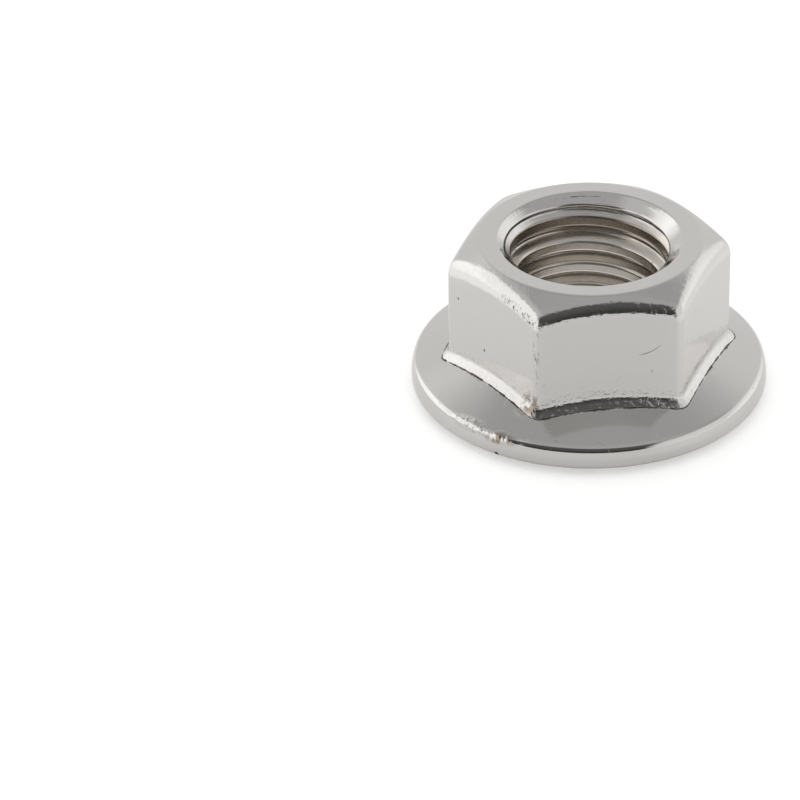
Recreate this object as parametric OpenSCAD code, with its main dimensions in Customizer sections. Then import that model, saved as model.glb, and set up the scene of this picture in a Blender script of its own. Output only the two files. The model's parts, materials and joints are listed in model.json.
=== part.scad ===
// Hexagon flange nut with a toothed bearing face, forged in one piece.
// All sizes are in millimetres. The origin is the centre of the bearing plane, which the tooth
// tops touch, and +Z runs along the nut's axis towards the top of the hexagon.

/* [Thread] */
// Nominal diameter of the screw that the nut takes
thread_d = 10; // [9:0.5:11]
// Rise of the thread in one turn, which sets the bore that it is cut in
thread_pitch = 1.5; // [1:0.25:1.75]
// How far the top countersink reaches past the screw's diameter, on each side
top_mouth_step = 0.6; // [0.2:0.1:0.8]
// How far the bottom countersink reaches past the screw's diameter, on each side
bottom_mouth_step = 0.7; // [0.2:0.1:0.9]
// Full cone angle of both countersinks
mouth_angle = 90; // [80:5:120]
// Rounding of the edge round each countersink
mouth_round = 0.25; // [0.1:0.05:0.4]

/* [Hexagon] */
// Width across two opposite flats
across_flats = 15; // [14:0.25:16.5]
// Height of the whole nut, from the tooth tops to the top land
nut_height = 10; // [8:0.5:12]
// How far the six upright edges are taken back from sharp corners
corner_cut = 0.16; // [0.08:0.02:0.3]
// Width of the sloping cone between the round top land and the middle of a flat
top_chamfer = 0.8; // [0.5:0.1:1]
// Fall of that cone from the horizontal, in degrees
top_slope = 28; // [20:1:35]
// Rounding where the cone bends down into the flats
edge_round = 1; // [0.5:0.1:1.2]

/* [Flange] */
// Outer diameter of the flange
flange_d = 21.5; // [20.5:0.25:24]
// Fall of the flange's upper face from the horizontal, in degrees
flange_slope = 22; // [15:1:26]
// Height of the flange's rim
rim_height = 1.4; // [1.3:0.1:1.8]
// Height of the upright lower part of the rim
rim_upright = 0.7; // [0.6:0.05:0.8]
// How far the rim leans in above its upright part
rim_lean = 0.15; // [0:0.05:0.3]
// Rounding of the rim's lower edge
rim_lower_round = 0.35; // [0.1:0.05:0.4]
// Rounding of the rim's upper edge, and of the bend where its lean starts
rim_upper_round = 0.4; // [0.2:0.05:0.45]
// How far the foot of the hexagon flares out over the flange
foot_flare = 0.4; // [0.2:0.05:0.6]
// Fall of the flared foot from the horizontal, in degrees
foot_slope = 50; // [45:1:60]

/* [Bearing face] */
// Number of locking teeth
tooth_count = 24; // [20:1:28]
// Height of a tooth from the valley to its top
tooth_depth = 0.3; // [0.25:0.05:0.45]
// Width of the curved ramp that climbs from a valley to the flat top of a tooth
tooth_ramp = 1.6; // [1.2:0.1:1.8]
// Radius of the ramp's swell
tooth_swell = 5; // [4.2:0.1:5.4]
// How far the plain ring and band lie back from the valleys
tooth_relief = 0.05; // [0.05:0.05:0.2]
// Plain band between the ends of the teeth and the outside of the rim
rim_band = 0.6; // [0.5:0.05:0.8]
// Width of the smooth ring between the bottom countersink and the circle that the teeth curve into
ring_width = 1.35; // [1:0.05:1.6]
// How far outside that circle the tips of the teeth are cut back
tip_cut = 0.3; // [0.25:0.05:0.5]

/* [Hidden] */
$fn = 96;

// Amount by which a cutter passes the face that it cuts through
past = 1;
// Number of cone bands that round the edge between the top and the flats
band_count = 2;

bore_r = (thread_d - thread_pitch) / 2;
flat_r = across_flats / 2;
land_r = flat_r - top_chamfer;
corner_r = flat_r / cos(30) - corner_cut;
flange_r = flange_d / 2;

// Flange: the underside lies above the bearing plane by a tooth's height and its relief
underside_z = tooth_depth + tooth_relief;
rim_top_r = flange_r - rim_lean;
rim_top_z = underside_z + rim_height;
seat_z = underside_z + rim_height / 2;
foot_r = flat_r + foot_flare;

// Teeth: each step is an arc that leaves the rim square to it and runs into the inner ring
teeth_out_r = flange_r - rim_band;
teeth_in_r = thread_d / 2 + bottom_mouth_step + ring_width;
step_r = (pow(teeth_out_r, 2) - pow(teeth_in_r, 2)) / (2 * teeth_in_r);
step_centre_r = teeth_in_r + step_r;
step_sweep = atan(step_r / teeth_out_r);
tooth_pitch = 360 / tooth_count;

function unit(v) = v / norm(v);

// Height of the flange's sloping face at distance r from the axis
function flange_z(r) = rim_top_z + (rim_top_r - r) * tan(flange_slope);

// Tangent points and centre of a fillet of radius f at corner b, between neighbours a and c
function fillet(a, b, c, f) =
    let (u = unit(a - b), w = unit(c - b), half = acos(u * w) / 2)
    [b + u * f / tan(half), b + w * f / tan(half), b + unit(u + w) * f / sin(half)];

// Convex outline whose corners [r, z, fillet radius] are rounded; a radius of 0 keeps one sharp
module rounded_outline(corners) {
    n = len(corners);
    place = [for (c = corners) [c[0], c[1]]];
    round = [for (i = [0:n - 1])
        fillet(place[(i + n - 1) % n], place[i], place[(i + 1) % n], corners[i][2])];
    polygon([for (i = [0:n - 1])
        each (corners[i][2] > 0 ? [round[i][0], round[i][1]] : [place[i]])]);
    for (i = [0:n - 1])
        if (corners[i][2] > 0)
            translate(round[i][2]) circle(r = corners[i][2]);
}

// Cone that crosses the middle of the +X flat at height z, falls outwards at the given slope, and
// meets that flat in the same arch as a face about the nut's axis that falls at arch_slope
module arch_cone(z, slope, arch_slope, low, high) {
    reach = flat_r * tan(slope) / tan(arch_slope);
    translate([flat_r - reach, 0, low])
        cylinder(h = high - low,
                 r1 = reach + (z - low) / tan(slope),
                 r2 = reach + (z - high) / tan(slope));
}

// The first child with copies of the second cut out of it, one after another round the axis
module cut_round(count) {
    if (count == 0)
        children(0);
    else
        difference() {
            cut_round(count - 1) { children(0); children(1); }
            rotate(count * $step) children(1);
        }
}

// What lies outside the cone band of the given slope, along the top edge of the +X flat
module edge_waste(slope) {
    edge_z = nut_height - top_chamfer * tan(top_slope);
    centre_z = edge_z - edge_round * tan((90 - top_slope) / 2);
    band_z = centre_z + edge_round * (1 - sin(slope)) / cos(slope);
    low = centre_z - edge_round;
    difference() {
        translate([flat_r - 2 * edge_round, -corner_r, low])
            cube([3 * edge_round, 2 * corner_r, nut_height + past - low]);
        arch_cone(band_z, slope, top_slope, low - past, nut_height + 2 * past);
    }
}

// Hexagon with one flat facing +X, turned to a cone on top and to a cylinder at its corners
module hexagon_blank() {
    intersection() {
        translate([0, 0, seat_z]) rotate(30)
            cylinder(h = nut_height - seat_z, r = flat_r / cos(30), $fn = 6);
        cylinder(h = nut_height, r = corner_r);
        cylinder(h = nut_height, r1 = land_r + nut_height / tan(top_slope), r2 = land_r);
    }
}

// The blank with the edges between its top and its flats rounded in bands
module hexagon_head(bands = band_count) {
    if (bands == 0)
        hexagon_blank();
    else
        cut_round(6, $step = 60) {
            hexagon_head(bands - 1);
            edge_waste(top_slope + (90 - top_slope) * bands / (band_count + 1));
        }
}

// Flared foot where the flats run out over the flange
module hexagon_foot() {
    flare_z = flange_z(foot_r) + foot_flare * tan(foot_slope);
    round_r = corner_r + foot_flare;
    intersection() {
        intersection_for (turn = [0:60:300])
            rotate(turn) arch_cone(flare_z, foot_slope, flange_slope, seat_z, flare_z);
        translate([0, 0, seat_z])
            cylinder(h = flare_z - seat_z,
                     r1 = round_r + (flange_z(round_r) - seat_z) / tan(foot_slope),
                     r2 = round_r + (flange_z(round_r) - flare_z) / tan(foot_slope));
    }
}

// Conical flange with a rounded, slightly leaning rim
module flange() {
    hidden_r = land_r;
    rotate_extrude()
        rounded_outline([
            [0, underside_z, 0],
            [flange_r, underside_z, rim_lower_round],
            [flange_r, underside_z + rim_upright, rim_lean > 0 ? rim_upper_round : 0],
            [rim_top_r, rim_top_z, rim_upper_round],
            [hidden_r, flange_z(hidden_r), 0],
            [0, flange_z(hidden_r), 0]
        ]);
}

// Hollow under a tooth's ramp, which swells up from the foot of the next tooth's step. It turns
// about the centre of that step's arc, from outside the rim to inside the ring.
module ramp_hollow() {
    start = 80;
    valley = [step_r, tooth_depth];
    brow = [step_r + tooth_ramp, 0];
    half = norm(brow - valley) / 2;
    inwards = unit([tooth_depth, tooth_ramp]);
    centre = (valley + brow) / 2 + inwards * sqrt(pow(tooth_swell, 2) - pow(half, 2));
    rotate(-step_sweep) translate([step_centre_r, 0, 0])
        rotate(start) rotate_extrude(angle = 180 - start)
            difference() {
                translate([step_r, -past]) square([centre[0] - step_r, 2 * past]);
                translate(centre) circle(r = tooth_swell);
            }
}

// Ring of teeth, which climb on one side and drop square on the other
module teeth() {
    cut_round(tooth_count, $step = tooth_pitch) {
        difference() {
            cylinder(h = seat_z, r = teeth_out_r);
            translate([0, 0, -past]) cylinder(h = seat_z + 2 * past, r = teeth_in_r + tip_cut);
        }
        rotate(tooth_pitch / 2) ramp_hollow();
    }
}

// Countersink that opens upwards in a face at height 0, with its edge rounded over
module countersink(mouth_r) {
    depth = (mouth_r - bore_r) / tan(mouth_angle / 2);
    edge = mouth_round * tan((90 - mouth_angle / 2) / 2);
    rotate_extrude()
        difference() {
            polygon([
                [0, -depth],
                [bore_r, -depth],
                [mouth_r, 0],
                [mouth_r + edge, 0],
                [mouth_r + edge, past],
                [0, past]
            ]);
            translate([mouth_r + edge, -mouth_round]) circle(r = mouth_round);
        }
}

// The whole nut, one solid
module flange_nut() {
    color([0.78, 0.78, 0.77])
        difference() {
            union() {
                flange();
                teeth();
                hexagon_foot();
                hexagon_head();
            }
            translate([0, 0, -past]) cylinder(h = nut_height + 2 * past, r = bore_r);
            translate([0, 0, nut_height]) countersink(thread_d / 2 + top_mouth_step);
            translate([0, 0, underside_z])
                mirror([0, 0, 1]) countersink(thread_d / 2 + bottom_mouth_step);
        }
}

flange_nut();
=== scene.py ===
# %% [markdown]
# # A toothed flange nut in bright stainless steel
#
# The real nut is pressed from one slug of steel, tumbled until it shines, and then tapped. So the
# model is one closed skin. This lesson builds that skin in two halves, one by rings of points and
# one by a rule in Geometry Nodes, welds them, and gives them a steel that has seen some handling.
# Before any of that comes the frame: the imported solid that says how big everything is.

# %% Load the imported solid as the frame
import json
import math

import bpy
import numpy as np
from mathutils import Matrix, Vector


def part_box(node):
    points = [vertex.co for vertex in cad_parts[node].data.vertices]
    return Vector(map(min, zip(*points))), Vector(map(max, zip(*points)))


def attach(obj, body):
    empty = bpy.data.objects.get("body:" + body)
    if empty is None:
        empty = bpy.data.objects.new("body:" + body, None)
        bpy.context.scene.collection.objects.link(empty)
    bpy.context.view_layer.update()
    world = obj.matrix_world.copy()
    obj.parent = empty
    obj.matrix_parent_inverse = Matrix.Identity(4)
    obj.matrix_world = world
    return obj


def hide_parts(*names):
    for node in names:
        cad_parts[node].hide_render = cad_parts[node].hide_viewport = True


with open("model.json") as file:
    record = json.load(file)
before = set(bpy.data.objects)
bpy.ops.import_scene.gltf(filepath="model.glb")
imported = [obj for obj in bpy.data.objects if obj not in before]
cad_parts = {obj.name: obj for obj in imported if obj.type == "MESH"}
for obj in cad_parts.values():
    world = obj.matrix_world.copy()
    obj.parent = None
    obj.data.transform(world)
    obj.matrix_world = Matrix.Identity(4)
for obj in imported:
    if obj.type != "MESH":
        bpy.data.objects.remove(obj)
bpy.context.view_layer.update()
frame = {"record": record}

# %% [markdown]
# ## Sizes
#
# A drawing of a nut is in millimetres, so the geometry here is too, and one factor turns it into
# metres at the very end. The overall sizes and the bore come from the frame. The rest are the
# maker's own: slopes, roundings and the height of the teeth.

# %% Name the sizes in millimetres and degrees
MM = 0.001
low_corner, high_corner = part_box("flange_nut")
mounts = {mount["name"]: mount for mount in frame["record"]["mounts"]}
flange_r = (high_corner.x - low_corner.x) / 2 / MM
nut_top = high_corner.z / MM
bore_r = mounts["thread"]["dims"]["r_mm"]

SIDES = 6
FLAT_R = 7.5
EDGE_ROUND = 0.65
LAND_R = 6.7
TOP_SLOPE = math.radians(28)
SHOULDER_ROUND = 1.3
THREAD_R = 5.0
PITCH = 1.5
TOP_MOUTH_R = THREAD_R + 0.6
LOW_MOUTH_R = THREAD_R + 0.7
MOUTH_SLOPE = math.radians(41)

FLANGE_SLOPE = math.radians(22)
FOOT_FLARE = 0.4
FOOT_SLOPE = math.radians(50)
UNDERSIDE = 0.35
RIM_HEIGHT = 1.4
RIM_LEAN = 0.15
RIM_UPRIGHT = 0.7

TEETH = 24
TEETH_OUT_R = flange_r - 0.6
TEETH_IN_R = 7.28
STEP_RING_R = 7.05
TOOTH_SWELL = 5.0
TOOTH_TOP_AT = 1.85
print(f"nut {2 * flange_r:.1f} mm across, {nut_top:.1f} mm high, bore {2 * bore_r:.2f} mm")

# %% [markdown]
# ## A hexagon in polar form
#
# The skin is a grid: columns go round the nut, and rows go along its profile, from the thread over
# the top and down to the underside. Modelling a hexagon with a grid needs one thing: how far the
# side lies from the axis in any direction. That is a short formula, with an arc at each edge.
# The same formula, moved out a little, gives the flared foot.

# %% Distance from the axis to the hexagon's side
SECTOR = 2 * math.pi / SIDES


def hexagon_r(angle, flat, edge):
    """Distance to a hexagon's side, at an angle from the middle of that side."""
    turn = np.abs(angle)
    to_centre = (flat - edge) / math.cos(SECTOR / 2)
    off = SECTOR / 2 - turn
    on_flat = flat / np.cos(turn)
    on_edge = to_centre * np.cos(off) + np.sqrt(np.maximum(edge**2 - (to_centre * np.sin(off)) ** 2, 0))
    edge_starts = math.atan((flat - edge) * math.tan(SECTOR / 2) / flat)
    return np.where(turn < edge_starts, on_flat, on_edge)


def flange_z(radius):
    """Height of the flange's sloping face."""
    return UNDERSIDE + RIM_HEIGHT + (flange_r - RIM_LEAN - radius) * math.tan(FLANGE_SLOPE)


# %% [markdown]
# ## Columns
#
# Only one sixth is built, because the other five are copies. It has four teeth. Columns
# crowd where the shape turns fast: at the steps between the teeth and at the hexagon's upright
# edges. Elsewhere they are spread evenly. The thread needs even columns, so each column also gets
# a place in an even row, which it slides to on the flat land, where nobody can see it slide.

# %% Angles of the columns in one sixth
TOOTH_PITCH = 360 / TEETH
TEETH_IN_SECTOR = TEETH // SIDES
COLUMN_GAP = 1.3
EVEN_COLUMNS = 45
near_step = (-0.9, -0.35, -0.12, -0.03, 0.03, 0.12, 0.35, 0.9)
near_edge = (0, 0.45, 0.9, 1.35, 1.8, 2.2, 2.8)


def filled(marks, gap):
    """The marks, with even steps between them where they lie more than a gap apart."""
    places = [marks[0]]
    for start, end in zip(marks, marks[1:]):
        count = math.ceil((end - start) / gap)
        places += [start + (end - start) * i / count for i in range(1, count + 1)]
    return np.array(places)


half_sector = 180 / SIDES
step_angles = (np.arange(TEETH_IN_SECTOR) - (TEETH_IN_SECTOR - 1) / 2) * TOOTH_PITCH
marks = [step + shift for step in step_angles for shift in near_step]
marks += [side * (half_sector - shift) for side in (-1, 1) for shift in near_edge]
columns = filled(sorted(marks), COLUMN_GAP)
even_index = np.round(np.arange(len(columns)) * EVEN_COLUMNS / (len(columns) - 1))
even_step = 2 * half_sector / EVEN_COLUMNS
even_columns = -half_sector + even_index * even_step
print(f"{len(columns) - 1} columns in a sixth, {EVEN_COLUMNS} of them at the thread")

# %% [markdown]
# ## Rounded profiles
#
# A profile is a list of corners, and most corners are rounded. The helper below replaces a corner
# with an arc between its two tangent points. It works on all columns at once, since each column
# has its own corners. A row on either side of each arc holds the flat faces flat, so that smooth
# shading doesn't bleed the curve into them. On polished steel that is easy to see.

# %% Fillets and profiles for all columns at once
HOLD = 0.06


def length(vectors):
    return np.linalg.norm(vectors, axis=-1, keepdims=True)


def fillet(before, corner, after, radius, pieces):
    """Rows of points on the arc that rounds a corner, from the side of before to that of after."""
    back = (before - corner) / length(before - corner)
    on = (after - corner) / length(after - corner)
    half = np.arccos(np.clip((back * on).sum(-1, keepdims=True), -1, 1)) / 2
    middle = (back + on) / length(back + on)
    centre = corner + middle * radius / np.sin(half)
    first = corner + back * radius / np.tan(half) - centre
    last = corner + on * radius / np.tan(half) - centre
    sweep = math.pi - 2 * half
    return [
        centre + (np.sin((1 - t) * sweep) * first + np.sin(t * sweep) * last) / np.sin(sweep)
        for t in np.linspace(0, 1, pieces + 1)
    ]


def profile(stations):
    """Rows through corners, each given as (r, z, radius, pieces, rows between it and the last)."""
    size = len(columns)
    places = [np.stack([np.full(size, r), np.full(size, z)], 1) for r, z, *_ in stations]
    rows = []
    for i, (_, _, radius, pieces, between) in enumerate(stations):
        arc = [places[i]]
        if radius:
            arc = fillet(places[i - 1], places[i], places[i + 1], radius, pieces)
        if rows:
            span = arc[0] - rows[-1]
            hold = np.minimum(HOLD / length(span), 0.3)
            shares = [hold + (1 - 2 * hold) * k / (between + 1) for k in range(between + 2)]
            rows += [rows[-1] + span * share for share in shares]
        rows += arc
    return rows


# %% [markdown]
# ## The upper skin
#
# From the thread's mouth the profile runs over the round land, down the turned cone, round the
# shoulder and down the flat. A forged hexagon doesn't stand on its flange with a sharp corner. Its
# foot flares out, because a sharp corner in the die would crack. Then comes the conical flange
# and the rim, which bulges as metal does when it is squeezed out of a die.

# %% Rows of the upper skin
JOIN = 0.25
angle = np.radians(columns)
side_r = hexagon_r(angle, FLAT_R, EDGE_ROUND)
foot_r = hexagon_r(angle, FLAT_R + FOOT_FLARE, EDGE_ROUND + FOOT_FLARE)
rim_top_r = flange_r - RIM_LEAN

upper_rows = profile([
    (TOP_MOUTH_R - JOIN, nut_top - JOIN * math.tan(MOUTH_SLOPE), 0, 0, 0),
    (TOP_MOUTH_R, nut_top, 0.25, 5, 0),
    (LAND_R, nut_top, 0.5, 4, 5),
    (side_r, nut_top - (side_r - LAND_R) * math.tan(TOP_SLOPE), SHOULDER_ROUND, 10, 2),
    (side_r, flange_z(foot_r) + FOOT_FLARE * math.tan(FOOT_SLOPE), 0.6, 6, 6),
    (foot_r, flange_z(foot_r), 0.08, 3, 1),
    (rim_top_r, flange_z(rim_top_r), 0.5, 7, 5),
    (flange_r, UNDERSIDE + RIM_UPRIGHT, 1.2, 4, 0),
    (flange_r, UNDERSIDE, 0.35, 6, 0),
    (TEETH_OUT_R + 0.12, UNDERSIDE, 0, 0, 0),
])


def eased(value):
    """A smooth step from 0 to 1."""
    t = np.clip(value, 0, 1)
    return t * t * (3 - 2 * t)


SLIDE_FROM = TOP_MOUTH_R + 0.2
SLIDE_WIDTH = 0.6
upper_angles = [
    even_columns + (columns - even_columns) * eased((row[:, 0] - SLIDE_FROM) / SLIDE_WIDTH)
    for row in upper_rows
]

# %% [markdown]
# ## The teeth
#
# A serrated flange bites when the nut is turned back. Each tooth swells up from a valley, and drops
# at a step into the next valley. The steps aren't straight: each is an arc that leaves the rim
# square to it and runs into the plain inner ring, so the columns are swept along that arc.
# The swell is part of a circle too. A little rounding at the crest and in the valley keeps the
# step from being a perfect knife edge, which a pressed tooth never is.

# %% Rows of the underside
STEP_R = (TEETH_OUT_R**2 - STEP_RING_R**2) / (2 * STEP_RING_R)
STEP_CENTRE_R = STEP_RING_R + STEP_R
FULL_SWEEP = math.atan(STEP_R / TEETH_OUT_R)
CREST_LIFT = 0.07
CREST_WIDTH = 0.08
END_WIDTH = 0.14


def sweep_at(radius):
    """How far a step has turned, in degrees, where it has come in to this radius."""
    held = min(max(radius, TEETH_IN_R), TEETH_OUT_R)
    part = (held**2 + STEP_CENTRE_R**2 - STEP_R**2) / (2 * held * STEP_CENTRE_R)
    return math.degrees(FULL_SWEEP - math.acos(part))


last_step = np.floor(columns / TOOTH_PITCH + 0.5) * TOOTH_PITCH - TOOTH_PITCH / 2
last_step = np.where(columns - last_step >= TOOTH_PITCH, last_step + TOOTH_PITCH, last_step)
past_step = columns - last_step
to_step = TOOTH_PITCH - past_step
valley_centre = np.radians(last_step) - FULL_SWEEP


def valley_distance(radius, degrees):
    """Distance from the step at the low side of each column's tooth."""
    turn = np.radians(degrees)
    x = radius * np.cos(turn) - STEP_CENTRE_R * np.cos(valley_centre)
    y = radius * np.sin(turn) - STEP_CENTRE_R * np.sin(valley_centre)
    return np.hypot(x, y) - STEP_R


def tooth_z(radius, degrees):
    """Height of the tooth's face over the bearing plane."""
    across = valley_distance(radius, degrees) - TOOTH_TOP_AT
    swell = TOOTH_SWELL - np.sqrt(TOOTH_SWELL**2 - across**2)
    crest = CREST_LIFT * (np.exp(-to_step / CREST_WIDTH) - np.exp(-past_step / CREST_WIDTH))
    ends = eased((TEETH_OUT_R + 0.04 - radius) / END_WIDTH) * eased((radius - TEETH_IN_R) / END_WIDTH)
    return UNDERSIDE + (swell + crest - UNDERSIDE) * ends


tooth_rows = [10.18, 10.15, 10.12, 10.085, 10.05, 9.95, 9.7, 9.4, 9.1, 8.8, 8.5, 8.25, 8.03, 7.85]
tooth_rows += [7.7, 7.58, 7.48, 7.42, 7.385, 7.35, 7.315, 7.28]
lower_rows = []
lower_angles = []
for radius in tooth_rows:
    swept = columns - sweep_at(radius)
    lower_angles.append(swept)
    lower_rows.append(np.stack([np.full(len(columns), radius), tooth_z(radius, swept)], 1))

ring_turn = round(sweep_at(TEETH_IN_R) / even_step) * even_step
ring_even = even_columns - ring_turn
ring_own = columns - sweep_at(TEETH_IN_R)
ring_rows = profile([
    (TEETH_IN_R - HOLD, UNDERSIDE, 0, 0, 0),
    (LOW_MOUTH_R, UNDERSIDE, 0.25, 5, 5),
    (LOW_MOUTH_R - JOIN, UNDERSIDE + JOIN * math.tan(MOUTH_SLOPE), 0, 0, 0),
])
LOW_SLIDE_FROM = LOW_MOUTH_R + 0.2
ring_angles = [
    ring_even + (ring_own - ring_even) * eased((row[:, 0] - LOW_SLIDE_FROM) / SLIDE_WIDTH)
    for row in ring_rows
]

# %% [markdown]
# ## Where grime and painted shade gather and metal was dragged
#
# Grime stays in corners: in the valleys, where the teeth run into the ring, and in the line round
# the foot of the hexagon. Its dark colour there is partly painted shade, for the shade that falls
# into those corners. The grid knows exactly where they are, so each point keeps three numbers:
# how close it is to such a corner, to a worn crest, and to the rounded top and foot of the
# hexagon, where the metal was drawn over the die. The material turns them into ragged grime with
# painted shade, rubbed crests and upright hairlines.

# %% Closeness to corners of grime and painted shade, worn crests and drawn edges
FOOT_REACH = 0.22
VALLEY_REACH = 0.45


def close_to(distance, reach):
    return np.clip(1 - np.abs(distance) / reach, 0, 1)


shoulder_drop = (side_r - LAND_R) * math.tan(TOP_SLOPE) + 0.3
foot_top = flange_z(foot_r) + FOOT_FLARE * math.tan(FOOT_SLOPE)
upper_grime_and_shade = []
upper_drawn = []
for row in upper_rows:
    off_shoulder = close_to(row[:, 1] - (nut_top - shoulder_drop), 1.1)
    off_foot = close_to(row[:, 1] - foot_top + 0.1, 0.9)
    on_hexagon = row[:, 0] < foot_r + 0.02
    upper_drawn.append(np.clip(2 * np.maximum(off_shoulder, off_foot), 0, 1) * on_hexagon)
    # Near the corner at the hexagon's foot: grime, and painted shade where shade falls into it.
    off_foot = np.hypot(row[:, 0] - foot_r, row[:, 1] - flange_z(foot_r))
    upper_grime_and_shade.append(close_to(off_foot, FOOT_REACH))
lower_grime_and_shade = []
lower_worn = []
for row, degrees in zip(lower_rows, lower_angles):
    radius = row[:, 0]
    in_teeth = eased((TEETH_OUT_R - radius) / END_WIDTH + 1)
    per_degree = radius * math.radians(1)
    # Valleys, step walls and both ends of the teeth: grime, and painted shade in these corners.
    valley = close_to(valley_distance(radius, degrees), VALLEY_REACH) * (past_step < to_step)
    wall = close_to(to_step * per_degree, 0.06)
    inner_end = close_to(radius - TEETH_IN_R, VALLEY_REACH)
    outer_end = 0.8 * close_to(radius - TEETH_OUT_R, 0.12)
    lower_grime_and_shade.append(np.maximum.reduce([valley, wall, inner_end, outer_end]) * in_teeth)
    lower_worn.append(close_to(to_step * per_degree - 0.06, 0.5) * in_teeth)
# Where the teeth run into the ring: grime and painted shade.
ring_grime_and_shade = [close_to(row[:, 0] - TEETH_IN_R, VALLEY_REACH) for row in ring_rows]

# %% Make the mesh of one sixth
rows = np.array(upper_rows + lower_rows + ring_rows)
turns = np.radians(np.array(upper_angles + lower_angles + ring_angles))
none_above = [np.zeros(len(columns))] * len(upper_rows)
none_within = [np.zeros(len(columns))] * len(ring_rows)
grime_and_shade = np.array(upper_grime_and_shade + lower_grime_and_shade + ring_grime_and_shade)
worn = np.array(none_above + lower_worn + none_within)
drawn = np.concatenate([upper_drawn, np.zeros_like(lower_worn), np.zeros_like(ring_grime_and_shade)])

points = np.stack([rows[..., 0] * np.cos(turns), rows[..., 0] * np.sin(turns), rows[..., 1]], -1)
row_count, column_count = points.shape[:2]
index = np.arange(row_count * column_count).reshape(row_count, column_count)
quads = np.stack([index[:-1, :-1], index[1:, :-1], index[1:, 1:], index[:-1, 1:]], -1)

sixth = bpy.data.meshes.new("nut_sixth")
sixth.from_pydata(points.reshape(-1, 3).tolist(), [], quads.reshape(-1, 4).tolist())
for name, values in (("grime_and_shade", grime_and_shade), ("worn", worn), ("drawn", drawn)):
    layer = sixth.attributes.new(name, "FLOAT", "POINT")
    layer.data.foreach_set("value", values.ravel().astype(np.float32))
print(f"one sixth has {row_count} rows and {len(sixth.polygons)} faces")

# %% [markdown]
# ## Writing nodes as sums
#
# Node trees are programs, and sums are easier to read than wires. The class below wraps a socket,
# so that `a * b + 1` adds the Math nodes that do it, in a shader tree or in a geometry tree. Any
# other node comes from one method, which takes its type, its settings and its inputs.

# %% A socket that can do sums
def tree_of(*values):
    return next(value.tree for value in values if isinstance(value, Wire))


def maths(operation, *values):
    """A Math node on wires and numbers."""
    return tree_of(*values).node("ShaderNodeMath", {"operation": operation}, dict(enumerate(values)))


def vector_maths(operation, *values, out=0):
    """A Vector Math node on wires and triples."""
    settings = {"operation": operation}
    inputs = dict(enumerate(values))
    if operation == "SCALE":
        inputs = {0: values[0], 3: values[1]}
    return tree_of(*values).node("ShaderNodeVectorMath", settings, inputs, out)


class Wire:
    """The output of a node. Sums on it add nodes to its tree."""

    def __init__(self, tree, socket):
        self.tree = tree
        self.socket = socket

    def __add__(self, other):
        return maths("ADD", self, other)

    def __radd__(self, other):
        return maths("ADD", other, self)

    def __sub__(self, other):
        return maths("SUBTRACT", self, other)

    def __rsub__(self, other):
        return maths("SUBTRACT", other, self)

    def __mul__(self, other):
        return maths("MULTIPLY", self, other)

    def __rmul__(self, other):
        return maths("MULTIPLY", other, self)

    def __truediv__(self, other):
        return maths("DIVIDE", self, other)


class Tree:
    """A node tree with one way to add a node."""

    def __init__(self, node_tree):
        self.node_tree = node_tree
        node_tree.nodes.clear()

    def node(self, kind, settings=None, inputs=None, out=0):
        """Adds a node, sets it up, then fills its inputs. Gives one output, or the node for None."""
        made = self.node_tree.nodes.new(kind)
        for key, value in (settings or {}).items():
            setattr(made, key, value)
        for key, value in (inputs or {}).items():
            socket = made.inputs[key]
            if isinstance(value, Wire):
                self.node_tree.links.new(value.socket, socket)
            else:
                socket.default_value = value
        return made if out is None else Wire(self, made.outputs[out])


def smooth(wire, start, end, low=0, high=1):
    """A smooth step between two values."""
    settings = {"interpolation_type": "SMOOTHSTEP"}
    inputs = {0: wire, 1: start, 2: end, 3: low, 4: high}
    return wire.tree.node("ShaderNodeMapRange", settings, inputs)


def blend(share, first, second):
    """The first value where the share is 0, and the second where it is 1."""
    return first + (second - first) * share


def split(wire):
    """The three parts of a vector."""
    made = wire.tree.node("ShaderNodeSeparateXYZ", None, {0: wire}, None)
    return [Wire(wire.tree, made.outputs[i]) for i in range(3)]


def joined(x, y, z):
    return tree_of(x, y, z).node("ShaderNodeCombineXYZ", None, {0: x, 1: y, 2: z})


# %% [markdown]
# ## The thread by a rule
#
# A thread is a good case for Geometry Nodes, because a rule makes all of it. Take a flat grid. Roll
# it into a tube, and let each row climb by one pitch in one turn: then each row follows
# the helix, and a row that leaves on one side comes back a pitch higher on the other. The distance
# from the axis depends only on the row, so crests and grooves follow by themselves. Where
# a countersink is wider than the thread, the cone wins, and rows that would pass the mouth
# are held at it. There they fall on the skin's own points, and the weld joins the two.
#
# The first turn under the top is opened in the photo: its crest is cut back and its flanks lean
# more. So the crest, the flanks and the groove have a second set of numbers, called lead, and
# height blends one set into the other.

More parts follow.
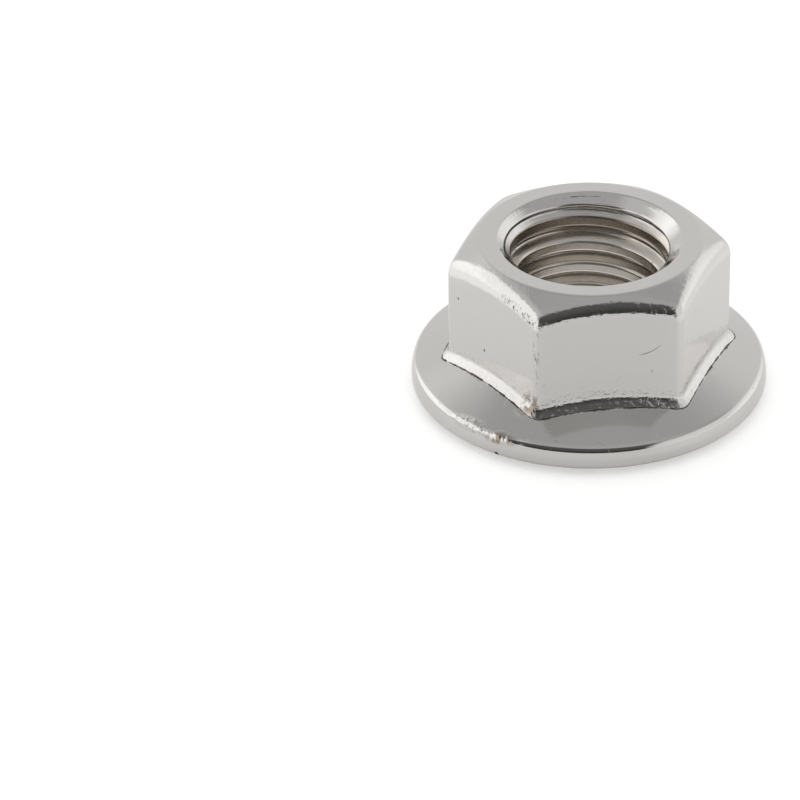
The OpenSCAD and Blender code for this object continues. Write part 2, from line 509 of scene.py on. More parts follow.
# %% Tree that copies the sixth, makes the thread and welds both
WELD = 0.002
nodes_of_nut = bpy.data.node_groups.new("whole_nut", "GeometryNodeTree")
face = nodes_of_nut.interface
face.new_socket("Geometry", in_out="INPUT", socket_type="NodeSocketGeometry")
nut_inputs = {
    "Sides": ("NodeSocketInt", SIDES),
    "First angle": ("NodeSocketFloat", -SECTOR / 2),
    "Thread columns": ("NodeSocketInt", SIDES * EVEN_COLUMNS),
    "Rows per pitch": ("NodeSocketInt", 20),
    "Pitch": ("NodeSocketFloat", PITCH),
    "Crest radius": ("NodeSocketFloat", bore_r + 0.08),
    "Groove radius": ("NodeSocketFloat", THREAD_R),
    "Crest half width": ("NodeSocketFloat", 0.31),
    "Flank slope": ("NodeSocketFloat", 1.94),
    "Crest shift": ("NodeSocketFloat", 0.26),
    "Lead crest radius": ("NodeSocketFloat", 4.75),
    "Lead half width": ("NodeSocketFloat", 0.30),
    "Lead upper slope": ("NodeSocketFloat", 1.14),
    "Lead lower slope": ("NodeSocketFloat", 0.82),
    "Lead groove radius": ("NodeSocketFloat", 5.2),
    "Lead height": ("NodeSocketFloat", 7.45),
    "Lead blend": ("NodeSocketFloat", 0.4),
    "Root rounding": ("NodeSocketFloat", 0.16),
    "Low mouth": ("NodeSocketFloat", UNDERSIDE + JOIN * math.tan(MOUTH_SLOPE)),
    "Top mouth": ("NodeSocketFloat", nut_top - JOIN * math.tan(MOUTH_SLOPE)),
    "Low mouth radius": ("NodeSocketFloat", LOW_MOUTH_R - JOIN),
    "Top mouth radius": ("NodeSocketFloat", TOP_MOUTH_R - JOIN),
    "Mouth slope": ("NodeSocketFloat", math.tan(MOUTH_SLOPE)),
    "Rounding": ("NodeSocketFloat", 0.06),
    "Weld distance": ("NodeSocketFloat", WELD),
    "Unevenness": ("NodeSocketFloat", 0.014),
    "Unevenness size": ("NodeSocketFloat", 0.35),
    "Scale": ("NodeSocketFloat", MM),
    "Steel": ("NodeSocketMaterial", None),
}
socket_ids = {
    name: face.new_socket(name, in_out="INPUT", socket_type=kind).identifier
    for name, (kind, _) in nut_inputs.items()
}
face.new_socket("Geometry", in_out="OUTPUT", socket_type="NodeSocketGeometry")

tree = Tree(nodes_of_nut)
given = tree.node("NodeGroupInput", out=None)
take = {socket.name: Wire(tree, socket) for socket in given.outputs if socket.name}

spots = tree.node("GeometryNodePoints", None, {"Count": take["Sides"]})
order = tree.node("GeometryNodeInputIndex")
turn = joined(0, 0, order * (2 * math.pi) / take["Sides"])
copies = tree.node("GeometryNodeInstanceOnPoints", None,
                   {"Points": spots, "Instance": take["Geometry"], "Rotation": turn})
skin = tree.node("GeometryNodeRealizeInstances", None, {0: copies})

climb = take["Top mouth"] - take["Low mouth"]
thread_rows = maths("CEIL", (climb / take["Pitch"] + 1) * take["Rows per pitch"])
sheet = tree.node("GeometryNodeMeshGrid", None,
                  {"Size X": 1, "Size Y": 1, "Vertices X": take["Thread columns"] + 1,
                   "Vertices Y": thread_rows + 1})
across, along, _ = split(tree.node("GeometryNodeInputPosition"))
share_round = across + 0.5
pitches = maths("ROUND", (along + 0.5) * thread_rows) / take["Rows per pitch"]
height = take["Low mouth"] - take["Pitch"] + take["Pitch"] * (pitches + share_round)
height = maths("MINIMUM", maths("MAXIMUM", height, take["Low mouth"]), take["Top mouth"])

over_crest = maths("WRAP", pitches * take["Pitch"] + take["Crest shift"], take["Pitch"], 0)
led = smooth(height, take["Lead height"], take["Lead height"] + take["Lead blend"])
crest = blend(led, take["Crest radius"], take["Lead crest radius"])
half_width = blend(led, take["Crest half width"], take["Lead half width"])
upper_slope = blend(led, take["Flank slope"], take["Lead upper slope"])
lower_slope = blend(led, take["Flank slope"], take["Lead lower slope"])
upper_flank = crest + (over_crest - half_width) * upper_slope
lower_flank = crest + (take["Pitch"] - over_crest - half_width) * lower_slope
flank = maths("SMOOTH_MIN", upper_flank, lower_flank, take["Rounding"])
groove = blend(led, take["Groove radius"], take["Lead groove radius"])
reach = maths("SMOOTH_MIN", flank, groove, take["Root rounding"])
reach = maths("SMOOTH_MAX", reach, crest, take["Rounding"])
top_cone = take["Top mouth radius"] - (take["Top mouth"] - height) / take["Mouth slope"]
low_cone = take["Low mouth radius"] - (height - take["Low mouth"]) / take["Mouth slope"]
reach = maths("SMOOTH_MAX", reach, top_cone, take["Rounding"])
reach = maths("SMOOTH_MAX", reach, low_cone, take["Rounding"])
bearing = take["First angle"] + share_round * (2 * math.pi)
place = joined(reach * maths("COSINE", bearing), reach * maths("SINE", bearing), height)
thread = tree.node("GeometryNodeSetPosition", None, {"Geometry": sheet, "Position": place})
thread = tree.node("GeometryNodeFlipFaces", None, {"Mesh": thread})

both = tree.node("GeometryNodeJoinGeometry", out=None)
for part in (thread, skin):
    nodes_of_nut.links.new(part.socket, both.inputs[0])
welded = tree.node("GeometryNodeMergeByDistance", None,
                   {"Geometry": Wire(tree, both.outputs[0]), "Distance": take["Weld distance"]})

# %% [markdown]
# ## Nothing forged is perfect
#
# A perfect surface looks like plastic, because reflections in it are too straight. So each
# point moves in or out by less than a hundredth of a millimetre, on a slow noise. That is too
# little to measure with a ruler, yet it bends every highlight a little.

# %% Finish the tree: unevenness, scale, steel
noise = tree.node("ShaderNodeTexNoise", {"noise_dimensions": "3D"},
                  {"Scale": take["Unevenness size"], "Detail": 2.0})
push = vector_maths("SCALE", tree.node("GeometryNodeInputNormal"), (noise - 0.5) * take["Unevenness"])
uneven = tree.node("GeometryNodeSetPosition", None, {"Geometry": welded, "Offset": push})
in_metres = tree.node("GeometryNodeTransform", None,
                      {"Geometry": uneven,
                       "Scale": joined(take["Scale"], take["Scale"], take["Scale"])})
realized = tree.node("GeometryNodeRealizeInstances", None, {0: in_metres})
soft = tree.node("GeometryNodeSetShadeSmooth", None, {"Geometry": realized, "Shade Smooth": True})
steeled = tree.node("GeometryNodeSetMaterial", None, {"Geometry": soft, "Material": take["Steel"]})
tree.node("NodeGroupOutput", None, {0: steeled}, None)

# %% [markdown]
# ## The steel
#
# Bright stainless steel is nearly a mirror, so its colour is the studio's. What makes it steel is
# what breaks the mirror: fine grain, upright drag marks on the forged sides, a few pits, long
# faint scratches, tool marks round the thread, and brown grime in the corners, partly painted
# shade there. Each is a noise or a mask with a name. The heights could be modelled, but most
# are a few hundredths of a millimetre at most, and a bump shows those as well for far fewer
# triangles.

# %% Colours and roughness of the steel and of what is on it
STEEL = (0.66, 0.645, 0.625)
# Painted shade: the bore's steel is warmer and darker, for light that bounces about inside it.
BORE_SHADE_STEEL = (0.64, 0.60, 0.55)
# Grime in corners and cuts, and painted shade in the corners.
GRIME_AND_SHADE = (0.055, 0.040, 0.031)
STAIN = (0.30, 0.25, 0.19)
POLISH_ROUGHNESS = 0.06
COARSE_ROUGHNESS = 0.04
THREAD_ROUGHNESS = 0.10
DIRT_ROUGHNESS = 0.45
PIT_ROUGHNESS = 0.2
DIRT_DULLS_METAL = 0.7
GROOVE_DIRT = 0.10
LEAD_CREST_STAIN = 0.7


def painted(mask, under, over):
    """One colour over another where a mask is 1. The one under may be a wire."""
    if not isinstance(under, Wire):
        under = (*under, 1)
    return mask.tree.node("ShaderNodeMix", {"data_type": "RGBA"}, {0: mask, 6: under, 7: (*over, 1)}, 2)


# %% Masks of the steel
def noise_at(place, scale, detail=2.0, roughness=0.5, distortion=0.0):
    """Value of a noise texture."""
    inputs = {"Vector": place, "Scale": scale, "Detail": detail, "Roughness": roughness,
              "Distortion": distortion}
    return place.tree.node("ShaderNodeTexNoise", {"noise_dimensions": "3D"}, inputs)


def stretched(place, x, y, z):
    return vector_maths("MULTIPLY", place, (x, y, z))


def kept_number(tree, name):
    """A number that the grid keeps at each point."""
    return tree.node("ShaderNodeAttribute", {"attribute_name": name}, None, "Fac")


def largest(first, *others):
    for other in others:
        first = maths("MAXIMUM", first, other)
    return first


def band(wire, start, end, soft):
    """1 between two values, with soft ends."""
    return smooth(wire, start - soft, start + soft) * smooth(wire, end + soft, end - soft)


def line_where(wire, width):
    """1 where a value is zero, fading to 0 at the width on either side."""
    return smooth(maths("ABSOLUTE", wire), width, 0)


def pits(place, scale, share, size):
    """Small round pits, in a share of the cells of a Voronoi texture."""
    cell = {"Vector": place, "Scale": scale, "Randomness": 1.0}
    near = place.tree.node("ShaderNodeTexVoronoi", None, cell, 0)
    shade = place.tree.node("ShaderNodeTexVoronoi", None, cell, 1)
    chosen = maths("LESS_THAN", split(shade)[0], share)
    return smooth(near, size, size * 0.3) * chosen


def scratches(place, scale, width):
    """Long thin lines where a slow noise passes its middle value."""
    slow = noise_at(place, scale, 0.0, 0.0, 0.3)
    broken = smooth(noise_at(place, scale * 3), 0.5, 0.62)
    return line_where(slow - 0.5, width) * broken


# %% [markdown]
# ## Marks of its own
#
# Noise treats all sides alike, but a real nut has marks of its own, and they tell the eye that
# it has been somewhere. Here they are crumpled metal at a corner of the foot, a dent in the rim
# with a stain beside it, a nick, two specks, torn metal under the shoulder and down one edge,
# and a curved scratch. Each lies in a soft ellipsoid at its place, and noise frays the larger ones.

# %% Places of the marks: centre and half sizes in millimetres
FOLDED_CORNER = ((-0.75, -8.7, 3.2), (1.3, 0.8, 1.0))
RIM_DENT = ((-3.9, -9.75, 1.65), (1.9, 1.0, 0.4))
RIM_STAIN = ((-1.6, -10.4, 1.55), (1.5, 0.5, 0.45))
RIM_NICK = ((-1.80, -10.55, 0.55), (0.2, 0.2, 0.22))
TORN_SHOULDER = ((-1.4, -7.8, 8.8), (2.6, 1.8, 1.2))
TORN_BAND = (-0.62, -0.30, 0.10)
TORN_EDGE = ((-0.1, -8.5, 6.6), (0.3, 0.4, 2.6))
SPECK_SIZE = (0.09, 0.09, 0.12)
SPECKS = [((-6.53, -4.89, 7.05), SPECK_SIZE), ((-4.35, -6.15, 4.64), SPECK_SIZE)]
SWEEP_CENTRE = (5.05, -5.75, 8.4)
SWEEP_R = 2.25
SWEEP_REACH = ((6.1, -5.1, 7.0), (2.2, 2.2, 1.7))
SWEEP_WIDTH = 0.05

# %% Where the noise that frays a mark fades in, and where folds crease
STAIN_FADE = (0.40, 0.54)
TORN_SHOULDER_FADE = (0.50, 0.60)
TORN_EDGE_FADE = (0.50, 0.62)
TORN_EDGE_SHARE = 0.5
CREASE_AT = 0.47
CREASE_WIDTH = 0.022
CREASE_SHARE = 0.8
DENT_CREASE = 0.6
STAIN_CRUMPLE = 0.6


def mark(place, centre, size):
    """1 at a place on the nut, in millimetres, fading to 0 at the given half sizes."""
    off = vector_maths("DIVIDE", vector_maths("SUBTRACT", place, centre), size)
    return smooth(vector_maths("LENGTH", off, out=1), 1.0, 0.4)


def own_marks(place, radius, z, noise):
    """Masks of crumpled metal, stains, dark cuts and the curved scratch, by name."""
    hair = noise["hair"]
    folds = noise["folds"]
    corner = mark(place, *FOLDED_CORNER)
    rim_dent = mark(place, *RIM_DENT)
    rim_stain = mark(place, *RIM_STAIN)
    crumpled = largest(corner, rim_dent, rim_stain * STAIN_CRUMPLE)
    stain = largest(corner, rim_stain) * smooth(folds, *STAIN_FADE)
    crease = largest(corner, rim_dent * DENT_CREASE) * line_where(folds - CREASE_AT, CREASE_WIDTH)

    under_shoulder = band(z + (radius - LAND_R) * math.tan(TOP_SLOPE) - nut_top, *TORN_BAND)
    torn_shoulder = mark(place, *TORN_SHOULDER) * under_shoulder * smooth(hair, *TORN_SHOULDER_FADE)
    torn_edge = mark(place, *TORN_EDGE) * smooth(hair, *TORN_EDGE_FADE) * TORN_EDGE_SHARE
    cuts = largest(torn_shoulder, torn_edge, crease * CREASE_SHARE)
    for centre, size in [RIM_NICK] + SPECKS:
        cuts = largest(cuts, mark(place, centre, size))

    off_sweep = vector_maths("LENGTH", vector_maths("SUBTRACT", place, SWEEP_CENTRE), out=1) - SWEEP_R
    swept = line_where(off_sweep, SWEEP_WIDTH) * mark(place, *SWEEP_REACH)
    return {"crumpled": crumpled, "stain": stain, "cut": cuts, "sweep": swept}


# %% [markdown]
# ## Noises and zones
#
# A noise that is stretched along one axis draws lines along it, which is how one texture gives
# grain, drag marks and hairlines. Round the thread the noise follows the bearing and the height,
# as a tool does. Zones are plain masks by distance from the axis and by height.

# %% Where zones fade in: the value where the mask is 0, then where it is 1, in millimetres
BORE_FADE = (5.35, 5.15)
THREAD_TOP_FADE = (9.5, 9.2)
THREAD_LOW_FADE = (0.9, 1.2)
# Painted shade of the bore, fading in downwards.
BORE_SHADE_FADE = (9.1, 8.6)
LEAD_FADE = (5.45, 5.3)
LEAD_FLOOR_FADE = (8.6, 8.8)
LEAD_CREST_FADE = (4.86, 4.8)
LEAD_CREST_FLOOR_FADE = (7.9, 8.1)
GROOVE_FADE = (4.5, 5.0)
FOOT_FADE = (4.6, 3.8)


def steel_noises(place, bearing, radius, z):
    """Noise of each kind, by name."""
    return {
        "fine": noise_at(place, 7.0, 3.0, 0.6),
        "coarse": noise_at(place, 1.1, 3.0, 0.5),
        "lumps": noise_at(place, 3.2, 2.0, 0.5),
        "drag": noise_at(stretched(place, 1, 1, 0.12), 9.0, 3.0, 0.6),
        "hair": noise_at(stretched(place, 1, 1, 0.3), 8.0, 3.0, 0.65),
        "folds": noise_at(stretched(place, 1, 1, 0.4), 2.6, 1.0, 0.4, 0.2),
        "tool": noise_at(joined(bearing * 0.6, radius * 2, z * 9), 2.2, 3.0, 0.7),
        "streak": noise_at(joined(bearing * 22, z * 1.2, 0), 1.6, 3.0, 0.7),
    }


def steel_zones(radius, z):
    """Masks of what the tools cut, of the bore's painted shade, and of the hexagon's foot, by name."""
    bore = smooth(radius, *BORE_FADE)
    return {
        "bore": bore,
        "thread": bore * smooth(z, *THREAD_TOP_FADE) * smooth(z, *THREAD_LOW_FADE),
        # Painted shade deep in the bore.
        "bore shade": bore * smooth(z, *BORE_SHADE_FADE),
        "lead": smooth(radius, *LEAD_FADE) * smooth(z, *LEAD_FLOOR_FADE),
        "lead crest": smooth(radius, *LEAD_CREST_FADE) * smooth(z, *LEAD_CREST_FLOOR_FADE),
        "foot": smooth(z, *FOOT_FADE),
    }


# %% [markdown]
# ## Adding up the heights
#
# Each kind of mark has a height, and the heights are simply added, so no mark has to know of
# another. They are in steps of two thousandths of a millimetre, the distance of the bump node.

# %% Heights of the marks, in steps of the bump
BUMP_STEP = 0.002 * MM
GRAIN = 0.3
DRAG_MARKS = 0.5
WORN_GRAIN = 4
DRAWN_WAVES = 6
DRAWN_HAIR = 2.0
DRAWN_TUFTS = 5.0
FOOT_EXTRA = 0.8
CRUMPLED_LUMPS = 20
CRUMPLED_FOLDS = 65
TOOL_MARKS = 2.2
THREAD_HAIR = 3
LEAD_TOOL_MARKS = 3
CREST_STREAKS = 10
PIT_DEPTH = 8
SCRATCH_DEPTH = 1.8
DIRT_DEPTH = 2.5
SWEEP_DEPTH = 7
TUFT_FADE = (0.45, 0.65)


def relief(noise, zone, near, marks, dirt_and_shade):
    """Height of the steel over its smooth skin."""
    tufts = DRAWN_HAIR + smooth(noise["lumps"], *TUFT_FADE) * DRAWN_TUFTS
    combed = noise["coarse"] * DRAWN_WAVES + noise["hair"] * tufts * (1 + zone["foot"] * FOOT_EXTRA)
    crushed = noise["lumps"] * CRUMPLED_LUMPS + noise["folds"] * CRUMPLED_FOLDS
    threaded = noise["tool"] * TOOL_MARKS + noise["hair"] * THREAD_HAIR
    height = noise["fine"] * GRAIN + noise["drag"] * DRAG_MARKS * (1 - zone["bore"])
    height = height + near["worn"] * noise["fine"] * WORN_GRAIN
    height = height + near["drawn"] * combed + marks["crumpled"] * crushed
    height = height + zone["thread"] * threaded
    height = height + noise["tool"] * LEAD_TOOL_MARKS * zone["lead"]
    height = height + noise["streak"] * CREST_STREAKS * zone["lead crest"]
    height = height - marks["pit"] * PIT_DEPTH - marks["scratch"] * SCRATCH_DEPTH
    return height - marks["sweep"] * SWEEP_DEPTH - dirt_and_shade * DIRT_DEPTH


# %% [markdown]
# ## The whole material
#
# Dirt is a dark colour that is rough and hardly a metal. It shows where the grid says that a
# corner is near, with noise to fray it, faintly in the thread's grooves, and in the cuts. Near the
# corners it is partly painted shade. The bore's steel is a little warmer and darker than the rest,
# as in the photo: that is painted shade, for the light that bounces about inside the bore.

# %% Make the material
FRAYED_FADE = (0.62, 0.92)
PATCHY_FADE = (0.35, 0.75)


def dirt_and_shade_on(radius, noise, zone, near, marks):
    """Mask of soiled corners, which are partly painted shade, of faint soil in the thread's grooves, and
    of cuts.
    """
    frayed = near["grime_and_shade"] + (noise["fine"] - 0.5) * 0.7 + (noise["coarse"] - 0.5) * 0.9
    patchy = smooth(noise["coarse"] + (noise["fine"] - 0.5) * 0.5, *PATCHY_FADE)
    groove = smooth(radius, *GROOVE_FADE) * zone["thread"] * patchy
    return largest(smooth(frayed, *FRAYED_FADE), groove * GROOVE_DIRT, marks["cut"])


def polished_steel():
    """Bright forged steel with handling marks, soiled corners that are partly painted shade, and painted
    shade in the bore.
    """
    material = bpy.data.materials.new("polished_steel")
    material.use_nodes = True
    tree = Tree(material.node_tree)
    place = vector_maths("SCALE", tree.node("ShaderNodeTexCoord", out="Object"), 1 / MM)
    x, y, z = split(place)
    radius = maths("SQRT", x * x + y * y)
    noise = steel_noises(place, maths("ARCTAN2", y, x), radius, z)
    zone = steel_zones(radius, z)
    near = {name: kept_number(tree, name) for name in ("grime_and_shade", "worn", "drawn")}
    marks = own_marks(place, radius, z, noise)
    off_drawn = 1 - near["drawn"]
    marks["pit"] = pits(place, scale=0.9, share=0.5, size=0.07) * off_drawn
    marks["scratch"] = scratches(stretched(place, 1, 1, 0.6), scale=0.5, width=0.004) * off_drawn
    dirt_and_shade = dirt_and_shade_on(radius, noise, zone, near, marks)

    # Painted shade: warmer, darker steel in the bore.
    colour = painted(zone["bore shade"], STEEL, BORE_SHADE_STEEL)
    colour = painted(largest(marks["stain"], zone["lead crest"] * LEAD_CREST_STAIN), colour, STAIN)
    # Grime colour, and painted shade in the corners.
    colour = painted(dirt_and_shade, colour, GRIME_AND_SHADE)
    roughness = POLISH_ROUGHNESS + noise["coarse"] * COARSE_ROUGHNESS
    roughness = roughness + zone["thread"] * THREAD_ROUGHNESS + dirt_and_shade * DIRT_ROUGHNESS
    roughness = roughness + marks["pit"] * PIT_ROUGHNESS
    metallic = 1 - dirt_and_shade * DIRT_DULLS_METAL
    height = relief(noise, zone, near, marks, dirt_and_shade)
    bump = tree.node("ShaderNodeBump", None, {"Strength": 1.0, "Distance": BUMP_STEP, "Height": height})
    shader = tree.node("ShaderNodeBsdfPrincipled", None,
                       {"Base Color": colour, "Metallic": metallic, "Roughness": roughness,
                        "Normal": bump})
    tree.node("ShaderNodeOutputMaterial", None, {"Surface": shader}, None)
    print(f"polished_steel has {len(tree.node_tree.nodes)} nodes")
    return material


steel = polished_steel()

# %% [markdown]
# ## From rule to plain mesh
#
# The tree now runs on the sixth. Its inputs are set by the sockets' identifiers, and the result is
# kept as a plain mesh, so that nothing live is left on the piece. A closed skin has no edge
# with only one face, which is easy to count.

# %% Evaluate the tree and keep the result
def kept_mesh(source, node_group, ids, values, name):
    """The plain mesh that a Geometry Nodes tree makes of a source mesh."""
    seed = bpy.data.objects.new(name + "_seed", source)
    bpy.context.scene.collection.objects.link(seed)
    modifier = seed.modifiers.new("tree", "NODES")
    modifier.node_group = node_group
    for key, value in values.items():
        modifier[ids[key]] = value
    graph = bpy.context.evaluated_depsgraph_get()
    mesh = bpy.data.meshes.new_from_object(seed.evaluated_get(graph))
    seed.modifiers.remove(modifier)
    bpy.data.objects.remove(seed)
    mesh.name = name
    return mesh


nut_values = {name: value for name, (_, value) in nut_inputs.items()}
nut_values["Steel"] = steel
nut_mesh = kept_mesh(sixth, nodes_of_nut, socket_ids, nut_values, "forged_nut")
forged_nut = bpy.data.objects.new("forged_nut", nut_mesh)
bpy.context.scene.collection.objects.link(forged_nut)


# %% Measure the mesh
def open_edge_count(mesh):
    """Number of edges that don't lie between exactly two faces."""
    uses = {}
    for polygon in mesh.polygons:
        for key in polygon.edge_keys:
            uses[key] = uses.get(key, 0) + 1
    return sum(count != 2 for count in uses.values())


def enclosed_volume(mesh):
    """Volume inside a closed mesh, from the cones between its faces and the origin."""
    total = 0
    for polygon in mesh.polygons:
        first, *rest = [mesh.vertices[i].co for i in polygon.vertices]
        for second, third in zip(rest, rest[1:]):
            total += first.dot(second.cross(third)) / 6
    return total


triangles = sum(len(polygon.vertices) - 2 for polygon in nut_mesh.polygons)
open_edges = open_edge_count(nut_mesh)
volume = enclosed_volume(nut_mesh) / MM**3
print(f"forged_nut: {triangles} triangles, {open_edges} open edges, {volume:.0f} mm3")

# %% Hand the piece to the frame
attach(forged_nut, "root")
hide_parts("flange_nut")

# %% [markdown]
# ## The studio
#
# A mirror shows its surroundings, so lighting polished steel means building what it reflects. The
# steel in a catalogue picture stands in a white tent: a pale floor, a pale sky that dims towards
# the lens, bright panels to the left and the right, and the dark room behind the camera, which draws
# the black line along each rounded edge. The world below holds that tent, for reflections only.
# The camera sees white, and plain surfaces get an even light. Below the horizon the world is a
# plain gradient, which the toothed face mirrors when it is seen from below. Lean is the angle from
# straight up towards the camera, and side is how far a direction points to the camera's right.

# %% Camera direction
CAMERA_BEARING = math.radians(-69.4)
CAMERA_ELEVATION = math.radians(31.02)
to_camera = Vector((math.cos(CAMERA_BEARING), math.sin(CAMERA_BEARING), 0))
to_right = Vector((-to_camera.y, to_camera.x, 0))


# %% Parts of the tent: where each fades in, and its level, where 1 is white
SKY_DIMS = (-60, -20)
SKY_BEHIND = 0.785
SKY_OVERHEAD = 0.45
NEAR_LENS_FADE = (-14, -5)
SKY_NEAR_LENS = 0.04
LEFT_SKY_FADES = ((-0.34, -0.50), (-62, -45))
LEFT_SKY = 0.17
RIGHT_SKY_FADES = ((0.42, 0.60), (0.70, 0.58))
RIGHT_SKY = 0.30
LEFT_PANEL_FADES = ((-0.58, -0.74), (0.72, 0.60))
LEFT_PANEL = 0.60
RIGHT_PANEL_FADES = ((0.62, 0.80), (0.66, 0.54))
RIGHT_PANEL = 0.10
ROOM_FADE = (28.5, 32)
ROOM_SIDES = (-0.66, 0.60, 0.06)
ROOM_RISE = (0.0, 0.9)
ROOM_LOW = 0.045
ROOM_HIGH = 0.12
HORIZON_FADE = (0, -0.02)
BELOW_FADE = (-0.25, -0.90)
BELOW_ASLANT = 0.42
BELOW_STRAIGHT = 0.88
EVEN_LIGHT = 0.80


def patch(first, second, fades):
    """A mask that fades in by two values at once."""
    return smooth(first, *fades[0]) * smooth(second, *fades[1])


def tent():
    """World that is white to the camera and a studio to polished metal."""
    world = bpy.data.worlds.new("tent")
    world.use_nodes = True
    tree = Tree(world.node_tree)
    sight = tree.node("ShaderNodeTexCoord", out="Generated")
    up = split(sight)[2]
    front = vector_maths("DOT_PRODUCT", sight, tuple(to_camera), out=1)
    side = vector_maths("DOT_PRODUCT", sight, tuple(to_right), out=1)
    lean = maths("ARCTAN2", front, up) * (180 / math.pi)

    light = smooth(lean, *SKY_DIMS, SKY_BEHIND, SKY_OVERHEAD)
    light = light + smooth(lean, *NEAR_LENS_FADE) * SKY_NEAR_LENS
    light = light + patch(side, lean, LEFT_SKY_FADES) * LEFT_SKY
    light = light + patch(side, up, RIGHT_SKY_FADES) * RIGHT_SKY
    light = light + patch(side, up, LEFT_PANEL_FADES) * LEFT_PANEL
    light = light + patch(side, up, RIGHT_PANEL_FADES) * RIGHT_PANEL
    room = smooth(lean, *ROOM_FADE) * band(side, *ROOM_SIDES)
    light = blend(room, light, smooth(up, *ROOM_RISE, ROOM_LOW, ROOM_HIGH))
    light = blend(smooth(up, *HORIZON_FADE), light, smooth(up, *BELOW_FADE, BELOW_ASLANT, BELOW_STRAIGHT))

    path = tree.node("ShaderNodeLightPath", out=None)
    camera_ray = Wire(tree, path.outputs["Is Camera Ray"])
    glossy_ray = Wire(tree, path.outputs["Is Glossy Ray"])
    plain = maths("MAXIMUM", camera_ray, EVEN_LIGHT * (1 - glossy_ray) * (1 - camera_ray))
    level = plain + light * glossy_ray
    background = tree.node("ShaderNodeBackground", None, {"Color": (1, 1, 1, 1), "Strength": level})
    tree.node("ShaderNodeOutputWorld", None, {"Surface": background}, None)
    print(f"tent has {len(tree.node_tree.nodes)} nodes")
    return world


bpy.context.scene.world = tent()

# %% [markdown]
# ## The floor
#
# The floor is one large square, matt and pale, with a little glow so that it comes out nearly as
# white as the paper round a catalogue picture. Mirrored in steel it glows by its own rule, more
# to the sides and further out. From below it is clear, and under the nut it is clear to
# reflections, because the toothed face would otherwise mirror nothing but its own shadow.

# %% Floor
FLOOR_HALF = 2.0
FLOOR_Z = -0.01 * MM
FLOOR_COLOUR = (0.90, 0.90, 0.89)
CAMERA_GLOW = 0.32
MIRRORED_GLOW = 0.11
MIRRORED_SIDES = (0.35, 0.9)
FAR_FADE = (20, 26)
FAR_GLOW_LEFT = 0.30
FAR_GLOW_RIGHT = 0.12
FAR_TURN = 0.3
UNDER_NUT_FADE = (10.5, 10.3)


def pale_floor():
    """Pale floor that takes a soft shadow and is clear from below."""
    material = bpy.data.materials.new("pale_floor")
    material.use_nodes = True
    tree = Tree(material.node_tree)
    path = tree.node("ShaderNodeLightPath", out=None)
    camera_ray = Wire(tree, path.outputs["Is Camera Ray"])
    glossy_ray = Wire(tree, path.outputs["Is Glossy Ray"])
    spot = tree.node("ShaderNodeTexCoord", out="Object")
    outward = vector_maths("NORMALIZE", spot)
    to_side = vector_maths("DOT_PRODUCT", outward, tuple(to_right), out=1)
    distance = vector_maths("LENGTH", spot, out=1) / MM
    far = smooth(distance, *FAR_FADE) * smooth(to_side, -FAR_TURN, FAR_TURN, FAR_GLOW_LEFT, FAR_GLOW_RIGHT)
    mirrored = smooth(maths("ABSOLUTE", to_side), *MIRRORED_SIDES) * (MIRRORED_GLOW + far)
    under_nut = smooth(distance, *UNDER_NUT_FADE)
    from_below = tree.node("ShaderNodeNewGeometry", out="Backfacing")
    matt = tree.node("ShaderNodeBsdfDiffuse", None, {"Color": (*FLOOR_COLOUR, 1)})
    strength = camera_ray * CAMERA_GLOW + glossy_ray * mirrored
    glow = tree.node("ShaderNodeEmission", None, {"Strength": strength})
    lit = tree.node("ShaderNodeAddShader", None, {0: matt, 1: glow})
    clear = tree.node("ShaderNodeBsdfTransparent")
    is_clear = maths("MAXIMUM", from_below * camera_ray, under_nut * glossy_ray)
    shader = tree.node("ShaderNodeMixShader", None, {0: is_clear, 1: lit, 2: clear})
    tree.node("ShaderNodeOutputMaterial", None, {"Surface": shader}, None)
    print(f"floor {2 * FLOOR_HALF:.0f} m wide, {-FLOOR_Z / MM:.2f} mm under the teeth")
    return material


floor_mesh = bpy.data.meshes.new("floor")
floor_mesh.from_pydata(
    [(x * FLOOR_HALF, y * FLOOR_HALF, FLOOR_Z) for x, y in ((-1, -1), (1, -1), (1, 1), (-1, 1))],
    [], [(0, 1, 2, 3)])
floor_mesh.materials.append(pale_floor())
floor = bpy.data.objects.new("floor", floor_mesh)
bpy.context.scene.collection.objects.link(floor)

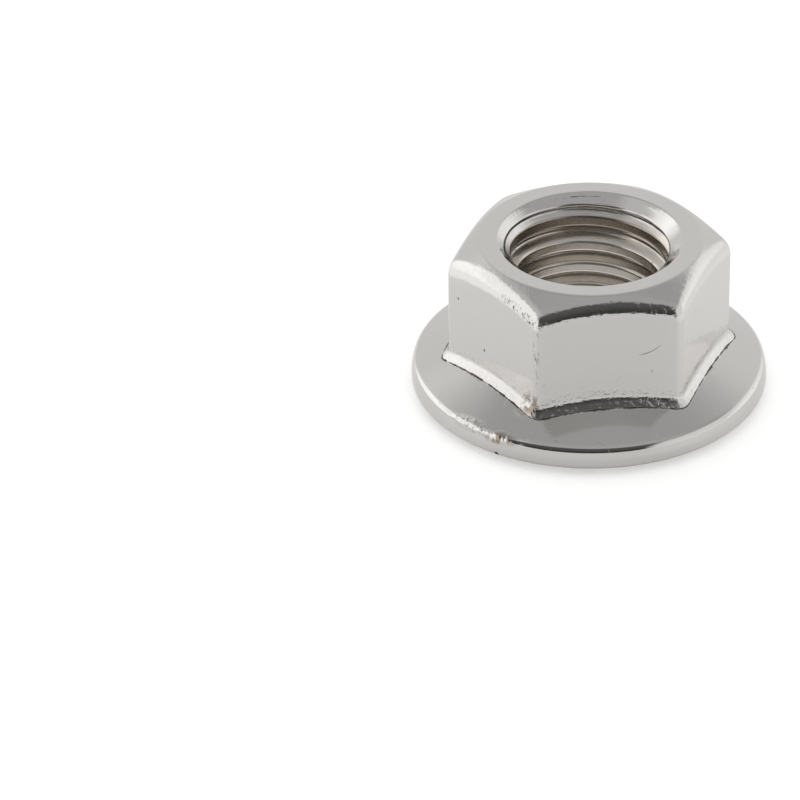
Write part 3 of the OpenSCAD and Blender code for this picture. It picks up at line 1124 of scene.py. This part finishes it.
# %% [markdown]
# ## The camera
#
# Catalogue pictures are taken from far away with a long lens, which keeps the hexagon's sides
# nearly parallel. The camera stands on a line of sight through a point on the nut's axis,
# and is then turned until that point falls on its place in the picture.

# %% Camera
PICTURE = 800
LENS_PIXELS = 5265
DISTANCE = 0.3176
ROLL = math.radians(0.56)
AIM_HEIGHT = 5.17 * MM
AIM_PIXEL = (589.28, 307.2)
SENSOR = 36

camera_data = bpy.data.cameras.new("camera")
camera_data.sensor_width = SENSOR
camera_data.lens = SENSOR * LENS_PIXELS / PICTURE
camera_data.clip_start = 0.01
camera = bpy.data.objects.new("camera", camera_data)
bpy.context.scene.collection.objects.link(camera)
bpy.context.scene.camera = camera

aim = Vector((0, 0, AIM_HEIGHT))
back = to_camera * math.cos(CAMERA_ELEVATION) + Vector((0, 0, math.sin(CAMERA_ELEVATION)))
upward = back.cross(to_right)
right = to_right * math.cos(ROLL) + upward * math.sin(ROLL)
facing = Matrix((right, back.cross(right), back)).transposed()
ray = Vector((AIM_PIXEL[0] - PICTURE / 2, PICTURE / 2 - AIM_PIXEL[1], -LENS_PIXELS)).normalized()
turned = facing @ ray.rotation_difference(Vector((0, 0, -1))).to_matrix()
camera.matrix_world = Matrix.Translation(aim + back * DISTANCE) @ turned.to_4x4()
print(f"camera {DISTANCE / MM:.0f} mm away, with a lens of {camera_data.lens:.0f} mm")

# %% [markdown]
# ## One lamp
#
# Steel needs no lamp in a tent. The floor does, because a soft shadow on it seats the nut.

# %% Lamp, in watts and metres
LAMP_POWER = 0.4
LAMP_SIZE = 0.5
LAMP_PLACE = (-0.15, 0.12, 0.6)

lamp_data = bpy.data.lights.new("overhead", "AREA")
lamp_data.energy = LAMP_POWER
lamp_data.size = LAMP_SIZE
lamp = bpy.data.objects.new("overhead", lamp_data)
lamp.location = LAMP_PLACE
lamp.rotation_euler = (aim - lamp.location).to_track_quat("-Z", "Y").to_euler()
lamp.visible_glossy = False
bpy.context.scene.collection.objects.link(lamp)
print(f"lamp {LAMP_PLACE[2]:.1f} m up, {LAMP_POWER:.1f} W")

# %% Colour handling
bpy.context.scene.view_settings.view_transform = "Standard"
